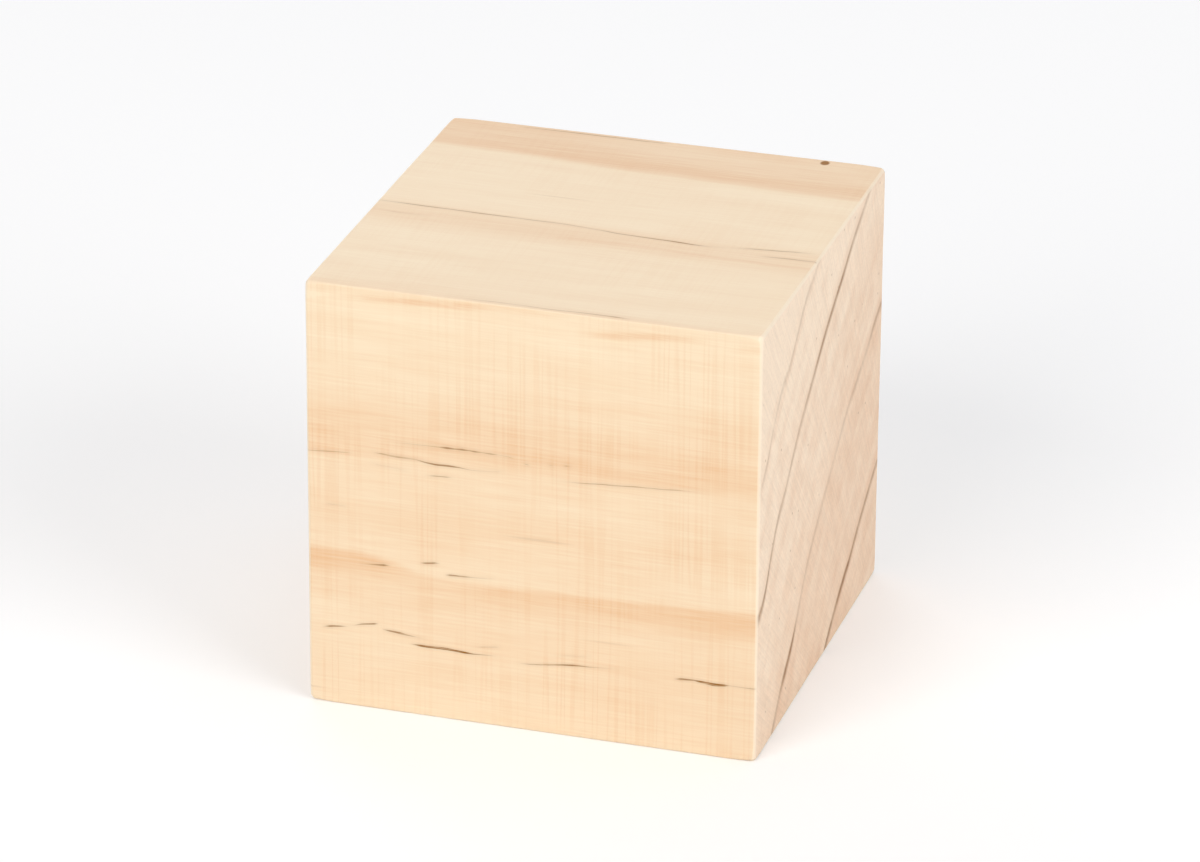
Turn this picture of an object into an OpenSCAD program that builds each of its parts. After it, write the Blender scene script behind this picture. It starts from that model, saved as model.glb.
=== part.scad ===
// Plain wooden cube: a square softwood stick, planed to size along the grain,
// sawn to length across the grain, and sanded so that every edge is lightly eased.
// It is one solid piece. The grain runs along X, so the two sawn ends face -X and +X.
// The cube stands on Z = 0, with the origin at the centre of its bottom face.

/* [Stick] */
// Width of the planed stick, across the grain (Y)
stick_width = 50; // [20:0.5:80]
// Height of the planed stick, across the grain (Z)
stick_height = 49; // [20:0.5:80]
// Radius sanded on the four edges that run along the grain
long_edge_radius = 0.4; // [0.1:0.1:3]

/* [Saw cut] */
// Length sawn off the stick, along the grain (X)
cut_length = 50; // [20:0.5:80]
// Radius sanded on the edges round the two sawn ends
end_edge_radius = 0.4; // [0.1:0.1:3]

/* [Hidden] */

// Bare, pale sapwood
wood_colour = "#EFD8B8";

// Steps in a full circle, for the eased edges
$fn = 64;

// Rectangle centred on the origin, with its four corners rounded
module eased_rectangle(size_a, size_b, radius) {
    square([size_a - 2 * radius, size_b], center = true);
    square([size_a, size_b - 2 * radius], center = true);
    for (side_a = [-1, 1], side_b = [-1, 1])
        translate([side_a * (size_a / 2 - radius), side_b * (size_b / 2 - radius)])
            circle(r = radius);
}

// The stick's own section, run along the grain: flat faces and eased long edges
module planed_stick() {
    rotate([90, 0, 90])
        linear_extrude(height = cut_length, center = true)
            eased_rectangle(stick_width, stick_height, long_edge_radius);
}

// What the sanding leaves at the sawn ends, seen from above: their upright edges are eased
module ends_eased_from_above() {
    linear_extrude(height = stick_height, center = true)
        eased_rectangle(cut_length, stick_width, end_edge_radius);
}

// What the sanding leaves at the sawn ends, seen from the front: their level edges are eased
module ends_eased_from_front() {
    rotate([90, 0, 0])
        linear_extrude(height = stick_width, center = true)
            eased_rectangle(cut_length, stick_height, end_edge_radius);
}

module wooden_cube() {
    color(wood_colour)
        translate([0, 0, stick_height / 2])
            intersection() {
                planed_stick();
                ends_eased_from_above();
                ends_eased_from_front();
            }
}

wooden_cube();
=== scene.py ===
import math

import bpy
from mathutils import Euler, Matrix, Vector, noise


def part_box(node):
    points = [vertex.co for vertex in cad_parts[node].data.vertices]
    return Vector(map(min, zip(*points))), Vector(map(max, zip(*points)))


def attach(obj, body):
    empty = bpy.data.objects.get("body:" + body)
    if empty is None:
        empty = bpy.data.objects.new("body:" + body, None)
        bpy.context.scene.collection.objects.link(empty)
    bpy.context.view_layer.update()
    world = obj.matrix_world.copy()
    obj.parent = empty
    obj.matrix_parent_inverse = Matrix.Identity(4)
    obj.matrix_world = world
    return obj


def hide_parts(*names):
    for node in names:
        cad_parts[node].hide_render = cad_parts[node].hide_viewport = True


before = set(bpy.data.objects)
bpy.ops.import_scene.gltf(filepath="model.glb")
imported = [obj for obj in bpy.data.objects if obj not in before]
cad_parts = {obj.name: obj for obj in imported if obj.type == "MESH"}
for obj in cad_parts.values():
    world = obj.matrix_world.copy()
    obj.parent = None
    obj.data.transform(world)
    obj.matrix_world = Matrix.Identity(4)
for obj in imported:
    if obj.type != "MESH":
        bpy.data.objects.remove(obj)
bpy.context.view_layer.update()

# The cube
# One block of pine: a square stick, planed along the grain, sawn to length across it and sanded all round.
# The grain runs along X, so growth rings cross the two sawn ends, and run as bands along the other faces.
MM = 0.001
low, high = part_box("wooden_cube")
centre = (low + high) / 2
half = (high - low) / 2

# The sanding isn't even, so the ease varies along each edge: the edges round the two sawn ends are eased the
# most, the edges along the grain less, and the corners a little extra.
ease_least = 0.32 * MM
ease_most = 0.5 * MM
ease_wander = 7 * MM
long_edge_share = 0.55
end_reach = 3 * MM
corner_extra = 0.22 * MM
corner_reach = 2.5 * MM
# The faces are flat to the eye, with a slight sanded wave.
face_wave = 0.03 * MM
face_wave_length = 16 * MM
# A small dark fleck sits in a shallow dent on the top, just in front of the back edge.
fleck_centre = Vector((low.x + 43.3 * MM, high.y - 0.9 * MM, high.z))
fleck_size = Vector((0.6, 0.75, 0.6)) * MM
fleck_depth = 0.04 * MM

# Mesh lines along each side: close together over the eased edges, then even.
edge_lines = [d * MM for d in (0, 0.06, 0.13, 0.21, 0.3, 0.4, 0.52, 0.68, 0.9, 1.2, 1.6)]
face_step = 0.7 * MM


def side_lines(half_size):
    """Where the mesh lines cross one side, from -half_size to half_size."""
    flat_from = -half_size + edge_lines[-1]
    count = round(-2 * flat_from / face_step)
    flat = [flat_from - 2 * flat_from * i / count for i in range(1, count)]
    near = [-half_size + d for d in edge_lines]
    return near + flat + [-p for p in reversed(near)]


def sanded(point):
    """Moves a point of the sharp block, measured from its centre, to the sanded surface."""
    place = centre + point
    share = 0.5 + 0.5 * noise.noise(place / ease_wander)
    near_end = max(0, 1 - (half.x - abs(point.x)) / end_reach)
    widest_gap = max(half[i] - abs(point[i]) for i in range(3))
    near_corner = max(0, 1 - widest_gap / corner_reach)
    ease = ease_least + (ease_most - ease_least) * share
    ease = ease * (long_edge_share + (1 - long_edge_share) * near_end) + corner_extra * near_corner ** 2
    inner = Vector(max(-h + ease, min(h - ease, c)) for h, c in zip(half, point))
    outward = (point - inner).normalized()
    wave = face_wave * (0.5 + 0.5 * noise.noise(place / face_wave_length))
    from_fleck = Vector((place - fleck_centre)[i] / fleck_size[i] for i in range(3)).length
    dent = fleck_depth * max(0, 1 - from_fleck ** 2)
    return centre + inner + outward * (ease - wave - dent)


# Each face has its own tile on the bake's map, three across and two up.
tile_size = (1 / 3, 1 / 2)
tile_margin = 0.006
numbers = {}
positions = []
quads = []
quad_spots = []
lines = [side_lines(h) for h in half]
for axis in range(3):
    across, up = (axis + 1) % 3, (axis + 2) % 3
    for way in (-1, 1):
        tile_corner = (axis * tile_size[0], (way > 0) * tile_size[1])
        grid = []
        for a in lines[across]:
            strip = []
            for b in lines[up]:
                point = Vector((0, 0, 0))
                point[axis], point[across], point[up] = way * half[axis], a, b
                key = tuple(round(c / MM, 4) for c in point)
                if key not in numbers:
                    numbers[key] = len(positions)
                    positions.append(sanded(point))
                tile_share = (0.5 + a / half[across] / 2, 0.5 + b / half[up] / 2)
                spot = [c + tile_margin + s * (t - 2 * tile_margin)
                        for c, s, t in zip(tile_corner, tile_share, tile_size)]
                strip.append((numbers[key], spot))
            grid.append(strip)
        for strip, next_strip in zip(grid, grid[1:]):
            for i in range(len(strip) - 1):
                quad = [strip[i], next_strip[i], next_strip[i + 1], strip[i + 1]]
                if way < 0:
                    quad.reverse()
                quads.append([number for number, spot in quad])
                quad_spots += [spot for number, spot in quad]

block = bpy.data.meshes.new("pine_cube")
block.from_pydata(positions, [], quads)
for loop, spot in zip(block.uv_layers.new(name="OFBake").data, quad_spots):
    loop.uv = spot
for polygon in block.polygons:
    polygon.use_smooth = True
cube = bpy.data.objects.new("pine_cube", block)
bpy.context.scene.collection.objects.link(cube)


def linear(hex_colour):
    """An sRGB hex colour as the linear RGBA that a shader takes."""
    shares = [int(hex_colour[i:i + 2], 16) / 255 for i in (1, 3, 5)]
    return [s / 12.92 if s <= 0.04045 else ((s + 0.055) / 1.055) ** 2.4 for s in shares] + [1]


def wire(tree, kind, feeds, out=0, curve=(), handle="VECTOR", **settings):
    """Adds one node with its settings and curve points, links or sets its inputs, gives back one output.

    Inputs and outputs are given by name, or by number where a node has several of the same name.
    """
    made = tree.nodes.new("ShaderNode" + kind)
    for name, value in settings.items():
        setattr(made, name, value)
    for number, spot in enumerate(curve):
        if number < 2:
            made.mapping.curves[0].points[number].location = spot
        else:
            made.mapping.curves[0].points.new(*spot)
        made.mapping.curves[0].points[number].handle_type = handle
    for name, value in feeds.items():
        if isinstance(value, bpy.types.NodeSocket):
            tree.links.new(value, made.inputs[name])
        else:
            made.inputs[name].default_value = value
    return made.outputs[out] if made.outputs else made


# A range mapped with this setting starts and stops gently.
smooth = {"interpolation_type": "SMOOTHSTEP"}

# Pine, planed and fine sanded, with no finish on it. It is matt and pale, with bands of browner late wood,
# hair-fine fibres along the grain, faint saw marks across it, and dark dashes where resin canals lie open.
pine = bpy.data.materials.new("pine_planed_and_sanded")
pine.use_nodes = True
tree = pine.node_tree
tree.nodes.clear()

# Places are in millimetres, in the cube's own frame. Curves run from 0 to 1, and take shares of its length.
metres = wire(tree, "TexCoord", {}, "Object")
place = wire(tree, "VectorMath", {0: metres, "Scale": 1 / MM}, operation="SCALE")
x, y, z = (wire(tree, "SeparateXYZ", {0: place}, name) for name in "XYZ")
from_left = wire(tree, "Math", {0: x, 1: low.x / MM}, operation="SUBTRACT")
from_front = wire(tree, "Math", {0: y, 1: low.y / MM}, operation="SUBTRACT")
from_back = wire(tree, "Math", {0: high.y / MM, 1: y}, operation="SUBTRACT")
from_top = wire(tree, "Math", {0: high.z / MM, 1: z}, operation="SUBTRACT")
length = 2 * half.x / MM
left_share = wire(tree, "Math", {0: from_left, 1: length}, operation="DIVIDE")
front_share = wire(tree, "Math", {0: from_front, 1: length}, operation="DIVIDE")

# Each mask is 1 on its own face or faces, and fades out over the eased edges round them.
mask_none, mask_full = 0.55, 0.85
facing = wire(tree, "TexCoord", {}, "Normal")
facing_x, facing_y, facing_z = (wire(tree, "SeparateXYZ", {0: facing}, name) for name in "XYZ")
facing_end = wire(tree, "Math", {0: facing_x}, operation="ABSOLUTE")
end_grain = wire(tree, "MapRange", {0: facing_end, 1: mask_none, 2: mask_full}, **smooth)
front = wire(tree, "MapRange", {0: facing_y, 1: -mask_none, 2: -mask_full}, **smooth)
top = wire(tree, "MapRange", {0: facing_z, 1: mask_none, 2: mask_full}, **smooth)

# Fibres: hair-fine streaks along the grain, over broader ones. Wood fibres are 0.03 mm wide, far too fine
# to show, so the finest streaks are drawn as bundles of them, a quarter of a millimetre wide.
fibre_size = (7, 0.25, 0.25)
streak_size = (34, 2.6, 2.6)
fibres = wire(tree, "VectorMath", {0: place, 1: fibre_size}, operation="DIVIDE")
fibres = wire(tree, "TexNoise", {"Vector": fibres, "Scale": 1, "Detail": 2})
streaks = wire(tree, "VectorMath", {0: place, 1: streak_size}, operation="DIVIDE")
streaks = wire(tree, "TexNoise", {"Vector": streaks, "Scale": 1, "Detail": 3})
# Noise like this lies about a middle level, and mostly between a low and a high one.
noise_low, noise_middle, noise_high = 0.3, 0.5, 0.7
# Saw marks: thin lines straight across the grain, a little under 1 mm apart, that come and go in patches.
# Each lies where the noise passes its middle level. The front shows them most.
saw_size = (0.85, 40, 40)
saw_line = 0.1
saw_patch_size = 9
patch_low, patch_high = 0.4, 0.62
saw_least = 0.2
saw_elsewhere = 0.35
saw_marks = wire(tree, "VectorMath", {0: place, 1: saw_size}, operation="DIVIDE")
saw_marks = wire(tree, "TexNoise", {"Vector": saw_marks, "Scale": 1, "Detail": 1})
saw_marks = wire(tree, "Math", {0: saw_marks, 1: noise_middle}, operation="SUBTRACT")
saw_marks = wire(tree, "Math", {0: saw_marks}, operation="ABSOLUTE")
saw_marks = wire(tree, "MapRange", {0: saw_marks, 1: 0, 2: saw_line, 3: 1, 4: 0}, **smooth)
saw_depth = wire(tree, "TexNoise", {"Vector": place, "Scale": 1 / saw_patch_size, "Detail": 2})
saw_depth = wire(tree, "MapRange", {0: saw_depth, 1: patch_low, 2: patch_high, 3: saw_least, 4: 1})
saw_face = wire(tree, "MapRange", {0: front, 3: saw_elsewhere, 4: 1})
saw_depth = wire(tree, "Math", {0: saw_depth, 1: saw_face}, operation="MULTIPLY")
saw_marks = wire(tree, "Math", {0: saw_marks, 1: saw_depth}, operation="MULTIPLY")
# Mottling: cloudy patches 2 or 3 mm across on the ends, drawn out along the grain elsewhere.
mottle_size = (16, 2.8, 2.8)
mottle = wire(tree, "VectorMath", {0: place, 1: mottle_size}, operation="DIVIDE")
mottle = wire(tree, "TexNoise", {"Vector": mottle, "Scale": 1, "Detail": 3})

# Growth rings are circles about the tree's pith, which lay below and behind this block. They wander a
# little, slowly and quickly, and slant by a little under 1 mm along the front and the top.
pith_y, pith_z = 70.0, -66.0
slow_size, slow_reach = (60, 18, 18), 0.6
quick_size, quick_reach = (7, 1.8, 1.8), 0.35
front_slant, top_slant = 0.84, 0.7
pith_across = wire(tree, "Math", {0: y, 1: pith_y}, operation="SUBTRACT")
pith_above = wire(tree, "Math", {0: z, 1: pith_z}, operation="SUBTRACT")
from_pith = wire(tree, "CombineXYZ", {"Y": pith_across, "Z": pith_above})
true_radius = wire(tree, "VectorMath", {0: from_pith}, "Value", operation="LENGTH")
slow_wander = wire(tree, "VectorMath", {0: place, 1: slow_size}, operation="DIVIDE")
slow_wander = wire(tree, "TexNoise", {"Vector": slow_wander, "Scale": 1, "Detail": 2})
slow_wander = wire(tree, "MapRange", {0: slow_wander, 3: -slow_reach / 2, 4: slow_reach / 2})
quick_wander = wire(tree, "VectorMath", {0: place, 1: quick_size}, operation="DIVIDE")
quick_wander = wire(tree, "TexNoise", {"Vector": quick_wander, "Scale": 1, "Detail": 2})
quick_wander = wire(tree, "MapRange", {0: quick_wander, 3: -quick_reach / 2, 4: quick_reach / 2})
end_radius = wire(tree, "Math", {0: true_radius, 1: slow_wander}, operation="ADD")
level_radius = wire(tree, "Math", {0: end_radius, 1: quick_wander}, operation="ADD")
slant = wire(tree, "Math", {0: top, 1: top_slant}, operation="MULTIPLY")
slant = wire(tree, "Math", {0: front, 1: front_slant, 2: slant}, operation="MULTIPLY_ADD")
slant = wire(tree, "Math", {0: slant, 1: left_share}, operation="MULTIPLY")
radius = wire(tree, "Math", {0: level_radius, 1: slant}, operation="SUBTRACT")
# The ring that shows low on the front steps down a fifth of the way along. Points are millimetres from the
# left and millimetres of step, which is whole within the first radius given and gone beyond the second.
step_course = [(0, 0), (6, 0.1), (9.7, 0.58), (12.5, 1.15), (17, 1.44), (35, 1.54), (50, 1.32)]
step_most = 1.6
step_whole, step_gone = 129, 132
step_points = [(a / length, b / step_most) for a, b in step_course]
step = wire(tree, "FloatCurve", {"Value": left_share}, curve=step_points)
step_scale = wire(tree, "MapRange", {0: level_radius, 1: step_whole, 2: step_gone, 3: step_most, 4: 0})
step_scale = wire(tree, "Math", {0: step_scale, 1: front}, operation="MULTIPLY")
radius = wire(tree, "Math", {0: step, 1: step_scale, 2: radius}, operation="MULTIPLY_ADD")

# How brown the long faces are at each radius: the late wood darkens slowly and ends sharply at the ring's
# edge. The low ring is broader at the front's left end. On the top the bands are broader and the wood
# between them paler, and its right part differs a little. Each list is for the part of the block that its
# mask picks out; points are a radius in millimetres and a share of brown.
left_whole, left_gone = 5, 13
right_none, right_whole = 8, 26
left_end = wire(tree, "MapRange", {0: from_left, 1: left_whole, 2: left_gone, 3: 1, 4: 0}, **smooth)
left_end = wire(tree, "Math", {0: left_end, 1: front}, operation="MULTIPLY")
right_part = wire(tree, "MapRange", {0: from_left, 1: right_none, 2: right_whole}, **smooth)
right_part = wire(tree, "Math", {0: right_part, 1: top}, operation="MULTIPLY")
tones = [
    (1, [(85, 0.14), (90, 0.18), (91.6, 0.28), (92.8, 0.46), (93.3, 0.46), (93.6, 0.22), (96, 0.17),
         (104, 0.21), (107, 0.27), (109, 0.38), (110.1, 0.48), (110.4, 0.24), (113, 0.2), (116.2, 0.165),
         (119, 0.19), (123, 0.215), (124.3, 0.235), (125, 0.31), (125.6, 0.4), (126.2, 0.46), (126.75, 0.53),
         (127, 0.24), (127.3, 0.18), (128.6, 0.205), (129.5, 0.265), (130.4, 0.28), (131.6, 0.235),
         (133, 0.21), (134.4, 0.22), (134.7, 0.25), (134.95, 0.38), (135.7, 0.46), (136.5, 0.45),
         (137.3, 0.4), (138.9, 0.28), (140.3, 0.205), (141.7, 0.165), (145.4, 0.125), (147.2, 0.095),
         (148.3, 0.12), (149.2, 0.16)]),
    (left_end, [(116.2, 0.15), (119, 0.19), (123, 0.21), (124.1, 0.29), (124.8, 0.42), (125.5, 0.53),
                (126.2, 0.62), (126.75, 0.62), (127.05, 0.26), (127.4, 0.2), (128.6, 0.205), (129.5, 0.255),
                (130.4, 0.265), (131.6, 0.225), (133, 0.205), (134.5, 0.23), (134.75, 0.37), (135.4, 0.48),
                (136.1, 0.51), (136.7, 0.45), (137.4, 0.37), (138.9, 0.27), (140.3, 0.205), (141.7, 0.165),
                (145.4, 0.115), (147.2, 0.09), (148.3, 0.11), (149.2, 0.15)]),
    (top, [(123.4, 0.47), (124.6, 0.56), (125.6, 0.56), (126.2, 0.52), (126.5, 0.46), (126.85, 0.13),
           (127.3, 0.1), (133.4, 0.1), (134.2, 0.15), (134.9, 0.18), (135.3, 0.23), (136.1, 0.29),
           (137.2, 0.28), (137.8, 0.18), (138.3, 0.11), (139, 0.09), (146.6, 0.11), (147.8, 0.17),
           (148.6, 0.24), (149.2, 0.28)]),
    (right_part, [(123.4, 0.38), (124.4, 0.36), (125.1, 0.44), (125.7, 0.53), (126.4, 0.53), (126.8, 0.46),
                  (127.1, 0.15), (127.5, 0.11), (134.4, 0.11), (134.9, 0.16), (135.3, 0.27), (136.1, 0.32),
                  (137.2, 0.34), (137.9, 0.24), (138.5, 0.14), (139.4, 0.12), (146.6, 0.13), (147.8, 0.19),
                  (148.6, 0.28), (149.2, 0.32)]),
]
inmost, outmost = 85, 155
ring_span = outmost - inmost
radius_share = wire(tree, "MapRange", {0: radius, 1: inmost, 2: outmost})
tone = 0
for part, tone_course in tones:
    tone_points = [((r - inmost) / ring_span, share) for r, share in tone_course]
    part_tone = wire(tree, "FloatCurve", {"Value": radius_share}, curve=tone_points)
    tone = wire(tree, "Mix", {0: part, 2: tone, 3: part_tone})
# The streaks and fibres together make the bands uneven, by about a fifth either way.
uneven_share = 0.22
uneven_reach = 0.3
uneven = wire(tree, "Math", {0: streaks, 1: fibres}, operation="ADD")
uneven = wire(tree, "MapRange", {
    0: uneven, 1: 1 - uneven_reach, 2: 1 + uneven_reach, 3: 1 - uneven_share, 4: 1 + uneven_share})
tone = wire(tree, "Math", {0: tone, 1: uneven}, operation="MULTIPLY")

# Across the ends each ring's late wood shows as a thin line that fades out over a millimetre or less, more
# sharply towards the bark, and comes and goes along its course. Each ring: points along it, as millimetres
# from the front, radius, and darkness.
rings = [
    [(0, 96.4, 0.5), (29, 94.1, 0.7), (33, 93.5, 0.75), (36, 93, 1), (38, 92.6, 0.95), (40, 92.5, 0.65),
     (50, 92, 0.5)],
    [(0, 110.7, 0.45), (9, 110.5, 0.45), (10.4, 110.3, 0.6), (11.6, 110, 1), (13.4, 109.6, 1),
     (14.6, 109.5, 0.75), (16, 109.6, 0.2), (20, 110.1, 0.22), (25, 109.8, 0.22), (31, 109.5, 0.15),
     (36, 109.4, 0.25), (40, 108.9, 0.32), (44, 108.8, 0.2), (46, 109.1, 0.45), (50, 109, 0.42)],
    [(0, 126.1, 0.55), (2.6, 125.4, 0.7), (5, 126.1, 0.55), (7, 126.5, 0.5), (10, 126.1, 0.4),
     (14, 126.4, 0.36), (18, 126.3, 0.42), (21, 126.2, 0.62), (25, 126.2, 0.74), (29, 126, 0.72),
     (33, 125.9, 0.82), (37, 126, 0.52), (41, 125.9, 0.34), (50, 126, 0.28)],
    [(0, 136, 0.15), (3, 136, 0.3), (5, 136.7, 0.12), (8, 137, 0.24), (11, 136.3, 0.28), (14, 136.5, 0.22),
     (17, 136.8, 0.28), (21, 136.2, 0.18), (26, 136.2, 0.15), (50, 136.2, 0.12)],
]
pith_fade, bark_fade = 0.87, 0.556
blotch_size = 2.2
blotch_low, blotch_high = 0.36, 0.58
blotch_least, blotch_most = 0.81, 1.08
line = 0
for ring in rings:
    ring_points = [(a / length, (r - inmost) / ring_span) for a, r, c in ring]
    ring_course = wire(tree, "FloatCurve", {"Value": front_share}, curve=ring_points, handle="AUTO")
    ring_radius = wire(tree, "Math", {0: ring_course, 1: ring_span, 2: inmost}, operation="MULTIPLY_ADD")
    off_ring = wire(tree, "Math", {0: end_radius, 1: ring_radius}, operation="SUBTRACT")
    pith_side = wire(tree, "Math", {0: off_ring, 1: -pith_fade}, operation="DIVIDE")
    bark_side = wire(tree, "Math", {0: off_ring, 1: bark_fade}, operation="DIVIDE")
    thin = wire(tree, "Math", {0: pith_side, 1: bark_side}, operation="MAXIMUM")
    thin = wire(tree, "MapRange", {0: thin, 1: 0, 2: 1, 3: 1, 4: 0}, **smooth)
    ring_darkness = [(a / length, c) for a, r, c in ring]
    ring_darkness = wire(tree, "FloatCurve", {"Value": front_share}, curve=ring_darkness)
    thin = wire(tree, "Math", {0: thin, 1: ring_darkness}, operation="MULTIPLY")
    line = wire(tree, "Math", {0: thin, 1: line}, operation="MAXIMUM")
blotches = wire(tree, "TexNoise", {"Vector": place, "Scale": 1 / blotch_size, "Detail": 2})
blotches = wire(tree, "MapRange", {
    0: blotches, 1: blotch_low, 2: blotch_high, 3: blotch_least, 4: blotch_most})
line = wire(tree, "Math", {0: line, 1: blotches}, operation="MULTIPLY")

# Resin canals run along the grain, each about a quarter of a millimetre wide, and show as dark dashes where
# the plane has cut them open, with a soft brown stain round them. Each row: its half width in millimetres,
# and points along it, as millimetres from the left, millimetres from the top or back edge, and darkness.
front_rows = [
    (0.1, [(1.3, 40.1, 0), (2.4, 39.9, 0.8), (3.6, 39.7, 0.65), (4.4, 39.6, 0.2), (5, 39.4, 0.2),
           (6, 39.15, 0.55), (7.5, 38.9, 0.7), (8.1, 38.8, 0), (8.3, 39.4, 0.2), (9.1, 39.5, 0.65),
           (10.4, 39.6, 0.75), (11.4, 39.7, 0.5), (12.4, 39.75, 0.3), (14, 39.9, 0), (18.2, 40.05, 0),
           (19.6, 39.85, 0.35), (21, 39.6, 0.4), (22, 39.5, 0), (27, 39.9, 0), (29, 39.5, 0.25),
           (30.8, 39.25, 0.25), (32, 39.1, 0)]),
    (0.1, [(11.2, 40.65, 0), (12.6, 40.7, 0.85), (15.5, 40.75, 0.95), (17.6, 40.85, 0.95), (18.6, 40.9, 0.6),
           (20.4, 40.8, 0.35), (22, 40.7, 0), (23, 41.25, 0), (25, 41.1, 0.5), (27, 40.85, 0.65),
           (29.5, 40.6, 0.75), (31, 40.5, 0.55), (32, 40.4, 0.35), (34, 40.2, 0.2), (36, 40.1, 0),
           (40.7, 40.4, 0), (41.6, 40.35, 0.75), (43.2, 40.25, 0.6), (43.8, 40.3, 0.9), (45.2, 40.4, 1),
           (46.4, 40.35, 0.8), (47, 40.3, 0.3), (48.6, 40.3, 0.35), (49.6, 40.3, 0.45), (50, 40.3, 0.3)]),
    (0.11, [(1.5, 25.6, 0), (2.6, 25.5, 0.3), (4.2, 25.4, 0.25), (4.8, 25.4, 0), (5.5, 32.05, 0),
            (7, 31.9, 0.45), (8.6, 31.75, 0.7), (9.6, 31.65, 0), (12.4, 30.95, 0), (13.2, 30.9, 0.6),
            (14.2, 30.75, 0.75), (15.1, 30.7, 0), (15.2, 32, 0), (16, 31.95, 0.75), (17.6, 31.85, 0.65),
            (18.6, 31.8, 0.35), (20.6, 31.6, 0.25), (21.4, 31.5, 0), (21.8, 26.6, 0), (24, 26.4, 0.2),
            (27, 26.1, 0.2), (29, 26, 0)]),
    (0.14, [(9, 17.3, 0), (11, 17.2, 0.25), (14.8, 17.2, 0.35), (15.7, 17.2, 0.7), (16.6, 17.2, 0.5),
            (17.4, 17.15, 0.65), (18.2, 17.15, 0.45), (18.8, 17.2, 0.6), (19.6, 17.2, 0.35),
            (20.6, 17.2, 0.5), (21.4, 17.2, 0.25), (22.8, 17.3, 0.3), (23.5, 17.4, 0), (23.9, 17.8, 0),
            (24.5, 17.85, 0.4), (25.2, 17.95, 0), (26.6, 17.5, 0), (27.2, 17.5, 0.3), (27.8, 17.5, 0),
            (28.2, 17.35, 0), (28.9, 17.3, 0.4), (29.7, 17.3, 0)]),
    (0.1, [(0, 19.45, 0.3), (2.4, 19.3, 0.45), (4.6, 19.2, 0.35), (5.6, 19.2, 0), (7, 18.75, 0),
           (8.4, 18.8, 0.5), (10.4, 18.9, 0.7), (12.4, 18.95, 0.5), (13.2, 19.1, 0.55), (14.4, 19.2, 0.75),
           (16.2, 19.2, 0.75), (17.2, 19.2, 0.5), (18.4, 19.3, 0.3), (21.4, 19.1, 0.25), (22.6, 19, 0),
           (27, 19.4, 0), (31, 19.2, 0.45), (34, 18.95, 0.55), (36.6, 18.7, 0.5), (41, 18.55, 0.4),
           (45, 18.4, 0)]),
    (0.1, [(6.8, 20.1, 0), (8, 20.2, 0.25), (10.5, 20.35, 0.25), (12, 20.45, 0), (12.9, 20.65, 0),
           (14.2, 20.6, 0.5), (15.6, 20.55, 0.5), (16.8, 20.5, 0)]),
]
top_rows = [
    (0.13, [(0, 26.15, 0.35), (2.5, 26.2, 0.5), (5, 26.25, 0.6), (8.6, 26.35, 0.55), (12, 26.5, 0.6),
            (16.4, 26.6, 0.5), (21.3, 26.7, 0.45), (24, 27, 0.4), (27.1, 27.45, 0.55), (30, 27.65, 0.55),
            (32, 27.75, 0.65), (34.5, 27.9, 0.75), (36, 28.05, 0.6), (37.8, 28, 0.3), (40, 27.7, 0.15),
            (42.2, 27.2, 0.45), (44, 27, 0.55), (47, 26.7, 0.5), (49, 26.6, 0.2)]),
    # From 7.5 to 26 mm along, this row draws a dark line 0.8 mm in from the back edge.
    (0.15, [(0.5, 28.8, 0), (3, 28.9, 0.3), (6, 29, 0.2), (7.3, 29, 0), (7.5, 0.8, 0), (9, 0.8, 0.35),
            (14, 0.75, 0.5), (20, 0.75, 0.6), (24.5, 0.8, 0.45), (26, 0.8, 0), (43, 28.95, 0),
            (44.6, 28.85, 0.4), (47, 28.7, 0.55), (50, 28.7, 0.45)]),
    (0.22, [(15, 49.4, 0), (18.6, 49.4, 0.3), (24, 49.4, 0.35), (29.8, 49.45, 0.35), (34, 49.5, 0.5),
            (36.6, 49.5, 0)]),
]
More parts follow.
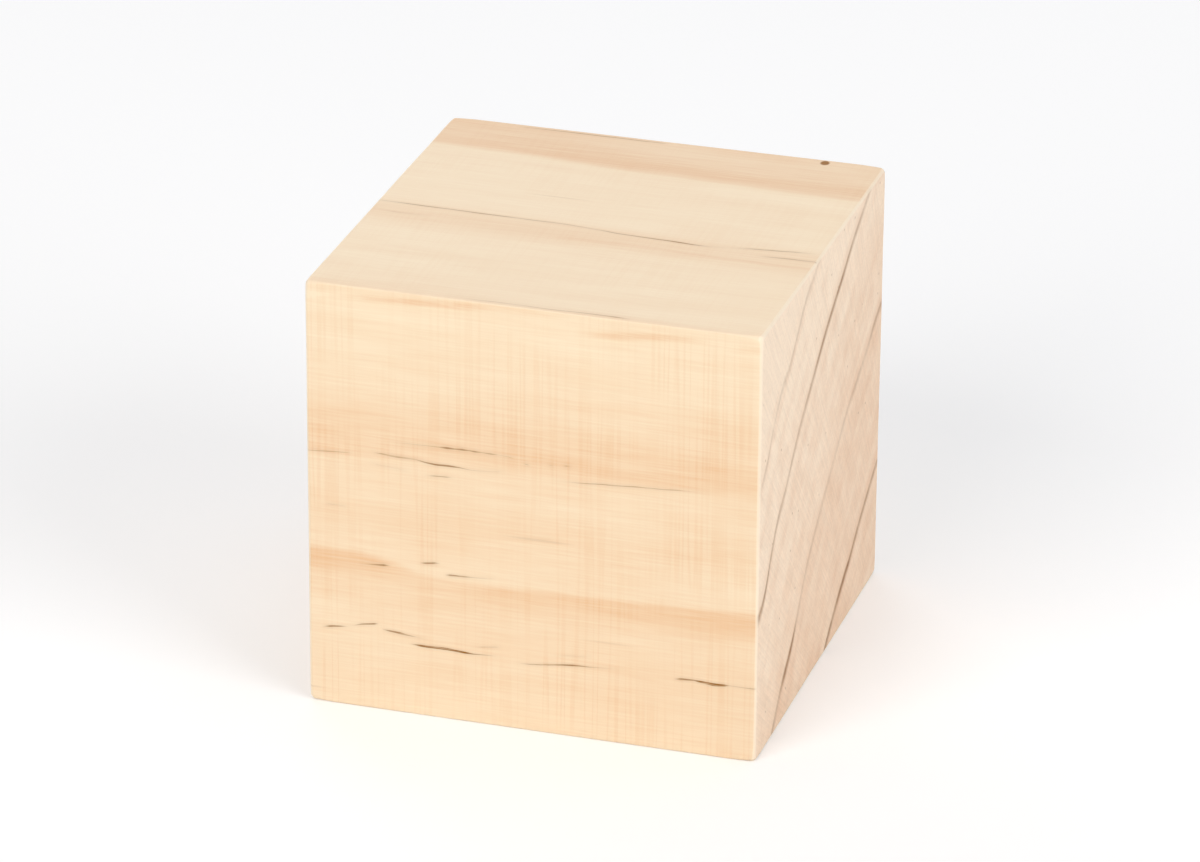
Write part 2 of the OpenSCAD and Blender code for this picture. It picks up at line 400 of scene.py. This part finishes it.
# A dash tapers with its darkness, has frayed edges, wobbles with the rings' quick wander, and is stained to
# several times its own width.
taper, taper_softness = 0.6, 0.3
fray_size = (3.5, 0.2, 0.2)
fray_low, fray_high = 0.34, 0.5
frayed_least, frayed_most = 0.55, 1.1
wobble_from, wobble_reach = 0.2 * quick_reach, 0.1
stain_widths, stain_share = 5, 0.2
frayed = wire(tree, "VectorMath", {0: place, 1: fray_size}, operation="DIVIDE")
frayed = wire(tree, "TexNoise", {"Vector": frayed, "Scale": 1, "Detail": 2})
frayed = wire(tree, "MapRange", {0: frayed, 1: fray_low, 2: fray_high, 3: frayed_least, 4: frayed_most})
wobble = wire(tree, "MapRange", {
    0: quick_wander, 1: -wobble_from, 2: wobble_from, 3: -wobble_reach, 4: wobble_reach})
resin = 0
for mask, down, rows in ((front, from_top, front_rows), (top, from_back, top_rows)):
    for half_width, row in rows:
        row_course = [(a / length, b / length) for a, b, c in row]
        row_course = wire(tree, "FloatCurve", {"Value": left_share}, curve=row_course)
        darkness = [(a / length, c) for a, b, c in row]
        darkness = wire(tree, "FloatCurve", {"Value": left_share}, curve=darkness)
        off_row = wire(tree, "Math", {0: row_course, 1: -length, 2: down}, operation="MULTIPLY_ADD")
        off_row = wire(tree, "Math", {0: off_row, 1: wobble}, operation="ADD")
        off_row = wire(tree, "Math", {0: off_row}, operation="ABSOLUTE")
        slope = -taper / half_width
        dash = wire(tree, "Math", {0: off_row, 1: slope, 2: darkness}, operation="MULTIPLY_ADD")
        dash = wire(tree, "MapRange", {0: dash, 1: 0, 2: taper_softness}, **smooth)
        dash = wire(tree, "Math", {0: dash, 1: frayed}, operation="MULTIPLY")
        stain_reach = stain_widths * half_width
        stain = wire(tree, "MapRange", {0: off_row, 1: 0, 2: stain_reach, 3: stain_share, 4: 0}, **smooth)
        dash = wire(tree, "Math", {0: dash, 1: stain}, operation="MAXIMUM")
        dash = wire(tree, "Math", {0: dash, 1: darkness}, operation="MULTIPLY")
        dash = wire(tree, "Math", {0: dash, 1: mask}, operation="MULTIPLY")
        resin = wire(tree, "Math", {0: dash, 1: resin}, operation="MAXIMUM")

# Seams of late wood, about a millimetre wide: three short ones lie just under the front's top edge, rising
# to the right, and one runs along the top. Points are millimetres from the left, millimetres from the top or
# back edge, and strength.
front_seams = [
    (4, 1.3, 0), (7, 1.15, 0.7), (12, 0.95, 1), (17, 0.7, 1), (21, 0.5, 0.6), (25, 0.4, 0.5), (29, 0.4, 0),
    (29.5, 2.15, 0), (32, 2.05, 0.7), (34, 1.9, 1), (38, 1.6, 1), (42, 1.25, 0.7), (45, 1.1, 0),
    (46, 1.9, 0), (48, 1.7, 0.5), (50, 1.6, 0.6)]
top_seam = [
    (0, 28.7, 0.3), (5, 28.8, 0.3), (8, 28.9, 0), (20, 30.5, 0), (23, 30.4, 0.4), (29, 30.1, 0.4),
    (33, 30.2, 0.4), (36, 30.6, 0.3), (41, 30.7, 0.4), (45, 30.9, 0.55), (48, 30.8, 0.5), (50, 30.8, 0.4)]
seam_core, seam_reach = 0.1, 0.65
seams = 0
for mask, down, seam_course in ((front, from_top, front_seams), (top, from_back, top_seam)):
    strength = [(a / length, c) for a, b, c in seam_course]
    strength = wire(tree, "FloatCurve", {"Value": left_share}, curve=strength)
    seam_points = [(a / length, b / length) for a, b, c in seam_course]
    off_seam = wire(tree, "FloatCurve", {"Value": left_share}, curve=seam_points)
    off_seam = wire(tree, "Math", {0: off_seam, 1: -length, 2: down}, operation="MULTIPLY_ADD")
    off_seam = wire(tree, "Math", {0: off_seam, 1: wobble}, operation="ADD")
    off_seam = wire(tree, "Math", {0: off_seam}, operation="ABSOLUTE")
    seam = wire(tree, "MapRange", {0: off_seam, 1: seam_core, 2: seam_reach, 3: 1, 4: 0}, **smooth)
    seam = wire(tree, "Math", {0: seam, 1: strength}, operation="MULTIPLY")
    seams = wire(tree, "Math", {0: seam, 1: mask, 2: seams}, operation="MULTIPLY_ADD")
seams = wire(tree, "Math", {0: seams, 1: frayed}, operation="MULTIPLY")

# Elsewhere the canals are scattered: dots on the ends, where they are cut straight across, and short dashes
# along the grain, fainter on the front and the top. A dot's core and edge are shares of the spacing.
canal_spacing = (60, 2.6, 2.6)
dot_core, dot_edge = 0.03, 0.08
dot_darkness = 0.5
dot_in_rows = 0.3
canals = wire(tree, "VectorMath", {0: place, 1: canal_spacing}, operation="DIVIDE")
canals = wire(tree, "TexVoronoi", {"Vector": canals, "Scale": 1}, "Distance")
canals = wire(tree, "MapRange", {0: canals, 1: dot_core, 2: dot_edge, 3: dot_darkness, 4: 0}, **smooth)
has_rows = wire(tree, "Math", {0: front, 1: top}, operation="ADD")
canal_share = wire(tree, "MapRange", {0: has_rows, 3: 1, 4: dot_in_rows})
canals = wire(tree, "Math", {0: canals, 1: canal_share}, operation="MULTIPLY")
resin = wire(tree, "Math", {0: canals, 1: resin}, operation="MAXIMUM")
# The fleck is as dark as the resin, with a soft rim.
fleck_core, fleck_rim = 0.6, 1.05
fleck = wire(tree, "VectorMath", {0: place, 1: fleck_centre / MM}, operation="SUBTRACT")
fleck = wire(tree, "VectorMath", {0: fleck, 1: fleck_size / MM}, operation="DIVIDE")
fleck = wire(tree, "VectorMath", {0: fleck}, "Value", operation="LENGTH")
fleck = wire(tree, "MapRange", {0: fleck, 1: fleck_core, 2: fleck_rim, 3: 1, 4: 0}, **smooth)
resin = wire(tree, "Math", {0: fleck, 1: resin}, operation="MAXIMUM")

# The ends show the wood cut across: fine growth lines that follow the rings, rays straight out from the
# pith, and the speckle of open cells. Real rays are 0.05 mm wide and cells 0.03 mm, too fine to show, so the
# rays are drawn 0.25 mm wide and the cells in clusters of 0.3 mm. Sizes are along the ring, out from the
# pith, and along the grain.
growth_size = (20, 1.8, 20)
ray_size = (0.25, 7, 4)
cell_size = 0.3
middle_radius = 115
arc = wire(tree, "Math", {0: pith_above, 1: pith_across}, operation="ARCTAN2")
arc = wire(tree, "Math", {0: arc, 1: middle_radius}, operation="MULTIPLY")
ring_place = wire(tree, "CombineXYZ", {"X": arc, "Y": radius, "Z": x})
growth = wire(tree, "VectorMath", {0: ring_place, 1: growth_size}, operation="DIVIDE")
growth = wire(tree, "TexNoise", {"Vector": growth, "Scale": 1, "Detail": 3})
rays = wire(tree, "VectorMath", {0: ring_place, 1: ray_size}, operation="DIVIDE")
rays = wire(tree, "TexNoise", {"Vector": rays, "Scale": 1, "Detail": 2})
speckle = wire(tree, "TexNoise", {"Vector": place, "Scale": 1 / cell_size, "Detail": 1})

# Colours of the long faces: pale early wood, browned by the rings and, in the shares given, by the streaks
# and fibres (less on the top), the seams, the mottling and the saw marks.
early_long, late_long, late_top = "#F6E2C3", "#E3AD79", "#DEAD80"
seam_brown, mottle_brown, saw_brown = 0.3, 0.06, 0.135
brown = tone
for pattern, brown_share, top_brown_share in ((streaks, 0.14, 0.1), (fibres, 0.25, 0.2)):
    swing = wire(tree, "Math", {0: pattern, 1: noise_middle}, operation="SUBTRACT")
    amount = wire(tree, "MapRange", {0: top, 3: brown_share, 4: top_brown_share})
    brown = wire(tree, "Math", {0: swing, 1: amount, 2: brown}, operation="MULTIPLY_ADD")
brown = wire(tree, "Math", {0: seams, 1: seam_brown, 2: brown}, operation="MULTIPLY_ADD")
brown = wire(tree, "Math", {0: saw_marks, 1: saw_brown, 2: brown}, operation="MULTIPLY_ADD")
swing = wire(tree, "MapRange", {0: mottle, 1: noise_low, 2: noise_high, 3: -mottle_brown, 4: mottle_brown})
brown = wire(tree, "Math", {0: brown, 1: swing}, operation="ADD")
# The front's foot drifts a little browner towards its right end: a painted tint of warm bounce light from
# below.
bounce_light_brown = 0.08
bounce_light_from, bounce_light_to = 28, 44
bounce_drift_from, bounce_drift_to = 12, 50
bounce_light_foot = wire(tree, "MapRange", {0: from_top, 1: bounce_light_from, 2: bounce_light_to})
bounce_light_foot = wire(tree, "Math", {0: bounce_light_foot, 1: front}, operation="MULTIPLY")
bounce_light_drift = wire(tree, "MapRange", {0: from_left, 1: bounce_drift_from, 2: bounce_drift_to, 3: 0, 4: bounce_light_brown})
# The painted warm bounce light is added to the front's brown here.
brown = wire(tree, "Math", {0: bounce_light_foot, 1: bounce_light_drift, 2: brown}, operation="MULTIPLY_ADD")
late_colour = wire(tree, "Mix", {0: top, 6: linear(late_long), 7: linear(late_top)}, 2, data_type="RGBA")
long_colour = wire(tree, "Mix", {0: brown, 6: linear(early_long), 7: late_colour}, 2, data_type="RGBA")

# Colours of the ends: cream to pink, darker towards the pith, partly in the wood's own heart colour and
# partly as painted shade on the lower part, and darker towards each ring, clouded by the mottling and the
# growth lines, with brown ring lines, and shaded by the rays and the speckle.
early_end, heart_and_shade_end, late_end = "#FDE6CC", "#EBC8A9", "#8F5F2C"
ring_heart = 0.6
outer_radius, inner_radius = 143, 104
outer_heart_and_shade, inner_heart_and_shade = -0.29, 0.56
# Darker towards the pith: part heart colour, part painted shade on the lower part.
heart_and_shade = wire(tree, "MapRange", {0: radius, 1: outer_radius, 2: inner_radius, 3: outer_heart_and_shade, 4: inner_heart_and_shade})
heart_and_shade = wire(tree, "Math", {0: tone, 1: ring_heart, 2: heart_and_shade}, operation="MULTIPLY_ADD")
for pattern, cloud in ((mottle, 0.2), (growth, 0.18)):
    swing = wire(tree, "MapRange", {0: pattern, 1: noise_low, 2: noise_high, 3: -cloud, 4: cloud})
    heart_and_shade = wire(tree, "Math", {0: heart_and_shade, 1: swing}, operation="ADD")
end_colour = wire(tree, "Mix", {0: heart_and_shade, 6: linear(early_end), 7: linear(heart_and_shade_end)}, 2, data_type="RGBA")
end_colour = wire(tree, "Mix", {0: line, 6: end_colour, 7: linear(late_end)}, 2, data_type="RGBA")
for pattern, darkest, palest in ((rays, 0.95, 1.04), (speckle, 0.96, 1.03)):
    shade = wire(tree, "MapRange", {0: pattern, 1: noise_low, 2: noise_high, 3: darkest, 4: palest})
    end_colour = wire(tree, "VectorMath", {0: end_colour, "Scale": shade}, operation="SCALE")
colour = wire(tree, "Mix", {0: end_grain, 6: long_colour, 7: end_colour}, 2, data_type="RGBA")

# The sanded edges are paler, most of all round the ends, partly from real wear and partly as a painted
# highlight where they turn to catch the light. On a face one part of its direction is 1, on an edge none is,
# so the widest part tells how far round the edge a place lies.
wear_and_highlight_colour = "#FBEBD3"
wear_and_highlight_none, wear_and_highlight_full = 0.998, 0.93
wear_and_highlight_long, wear_and_highlight_end = 0.15, 0.6
wear_and_highlight_end_from, wear_and_highlight_end_to = 0.1, 0.4
widest = facing_end
for part in (facing_y, facing_z):
    part_size = wire(tree, "Math", {0: part}, operation="ABSOLUTE")
    widest = wire(tree, "Math", {0: widest, 1: part_size}, operation="MAXIMUM")
wear_and_highlight = wire(tree, "MapRange", {0: widest, 1: wear_and_highlight_none, 2: wear_and_highlight_full}, **smooth)
wear_and_highlight_most = wire(tree, "MapRange", {
    0: facing_end, 1: wear_and_highlight_end_from, 2: wear_and_highlight_end_to, 3: wear_and_highlight_long, 4: wear_and_highlight_end})
wear_and_highlight = wire(tree, "Math", {0: wear_and_highlight, 1: wear_and_highlight_most}, operation="MULTIPLY")
# The pale edge colour goes in here: part wear, part painted highlight.
colour = wire(tree, "Mix", {0: wear_and_highlight, 6: colour, 7: linear(wear_and_highlight_colour)}, 2, data_type="RGBA")
resin_colour = "#905F1C"
colour = wire(tree, "Mix", {0: resin, 6: colour, 7: linear(resin_colour)}, 2, data_type="RGBA")

# The fibres stand up and the saw marks lie low by a hundredth or two of a millimetre, and the fibres' tops
# are rubbed a little smoother.
relief_height = 0.02 * MM
saw_relief = -0.5
dullest, smoothest = 0.66, 0.54
pine_ior = 1.45
relief = wire(tree, "Math", {0: saw_marks, 1: saw_relief, 2: fibres}, operation="MULTIPLY_ADD")
relief = wire(tree, "Mix", {0: end_grain, 2: relief, 3: speckle})
bumped = wire(tree, "Bump", {"Strength": 1, "Distance": relief_height, "Height": relief})
dull = wire(tree, "MapRange", {0: fibres, 1: noise_low, 2: noise_high, 3: dullest, 4: smoothest})
surface = wire(tree, "BsdfPrincipled", {
    "Base Color": colour, "Roughness": dull, "IOR": pine_ior, "Normal": bumped})
wire(tree, "OutputMaterial", {"Surface": surface})
block.materials.append(pine)

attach(cube, "root")
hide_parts("wooden_cube")

# The floor
# A plain white sheet of backdrop paper that the cube stands on, so wide that its far edge is out of sight.
# The camera sees it a little brighter than it is, so that only the cube's shadow shows on it.
floor_size = 8.0
paper_colour = "#F2F1EF"
paper_lift = 0.15
edge = floor_size / 2
floor_corners = [(-edge, -edge, low.z), (edge, -edge, low.z), (edge, edge, low.z), (-edge, edge, low.z)]
floor_mesh = bpy.data.meshes.new("floor")
floor_mesh.from_pydata(floor_corners, [], [(0, 1, 2, 3)])
floor = bpy.data.objects.new("floor", floor_mesh)
bpy.context.scene.collection.objects.link(floor)


def seen(tree):
    """1 for a ray that shows a thing to the camera, straight, mirrored or through glass, or else 0."""
    share = 0
    for name in ("Is Camera Ray", "Is Glossy Ray", "Is Transmission Ray"):
        share = wire(tree, "Math", {0: share, 1: wire(tree, "LightPath", {}, name)}, operation="MAXIMUM")
    return share


# White paper: matt and even, with nothing to catch the eye.
paper = bpy.data.materials.new("white_backdrop_paper")
paper.use_nodes = True
paper_tree = paper.node_tree
paper_tree.nodes.clear()
white = wire(paper_tree, "BsdfDiffuse", {"Color": linear(paper_colour)})
lift = wire(paper_tree, "Math", {0: seen(paper_tree), 1: paper_lift}, operation="MULTIPLY")
glow = wire(paper_tree, "Emission", {"Color": linear("#FFFFFF"), "Strength": lift})
wire(paper_tree, "OutputMaterial", {"Surface": wire(paper_tree, "AddShader", {0: white, 1: glow})})
floor_mesh.materials.append(paper)

# The light
# Four big soft boxes, in front, above, to the right and weakly behind, in a white room.
# Each: its name, its place and width in metres, its power in watts, and its tint.
soft_boxes = [
    ("front_softbox", (-0.45, -1.3, 0.85), 0.9, 11.3, "#FFFDFA"),
    ("top_softbox", (0.1, 0.2, 1.5), 1.2, 5.3, "#E4ECFF"),
    ("back_softbox", (-0.8, 1.2, 0.8), 0.9, 4.0, "#FFFFFF"),
    ("right_softbox", (1.3, -0.6, 0.8), 0.9, 10.25, "#FFFFFF"),
]
for name, spot, width, watts, tint in soft_boxes:
    lamp = bpy.data.lights.new(name, "AREA")
    lamp.shape = "SQUARE"
    lamp.size = width
    lamp.energy = watts
    lamp.color = linear(tint)[:3]
    stand = bpy.data.objects.new(name, lamp)
    stand.location = spot
    stand.rotation_euler = (centre - Vector(spot)).to_track_quat("-Z", "Y").to_euler()
    bpy.context.scene.collection.objects.link(stand)

# The room's walls give a dim, even light, and look white.
room_light, room_seen = 0.36, 1
room = bpy.data.worlds.new("white_room")
bpy.context.scene.world = room
room.use_nodes = True
room_tree = room.node_tree
room_tree.nodes.clear()
level = wire(room_tree, "MapRange", {0: seen(room_tree), 3: room_light, 4: room_seen})
walls = wire(room_tree, "Background", {"Color": linear("#FFFFFF"), "Strength": level})
wire(room_tree, "OutputWorld", {"Surface": walls})

# The camera
# A long lens, to the right of the front face and a little above, as in the photograph.
# It looks at the middle of the cube, and is tipped by less than half a degree.
azimuth, elevation, roll = math.radians(16.8), math.radians(24.0), math.radians(0.42)
distance = 0.70
lens = bpy.data.cameras.new("camera")
lens.sensor_width = 36
lens.lens = 193
camera = bpy.data.objects.new("camera", lens)
away = Vector((math.sin(azimuth) * math.cos(elevation), -math.cos(azimuth) * math.cos(elevation),
               math.sin(elevation)))
camera.location = centre + distance * away
camera.rotation_euler = ((-away).to_track_quat("-Z", "Y") @ Euler((0, 0, roll)).to_quaternion()).to_euler()
bpy.context.scene.collection.objects.link(camera)
bpy.context.scene.camera = camera

bpy.context.scene.view_settings.view_transform = "Standard"
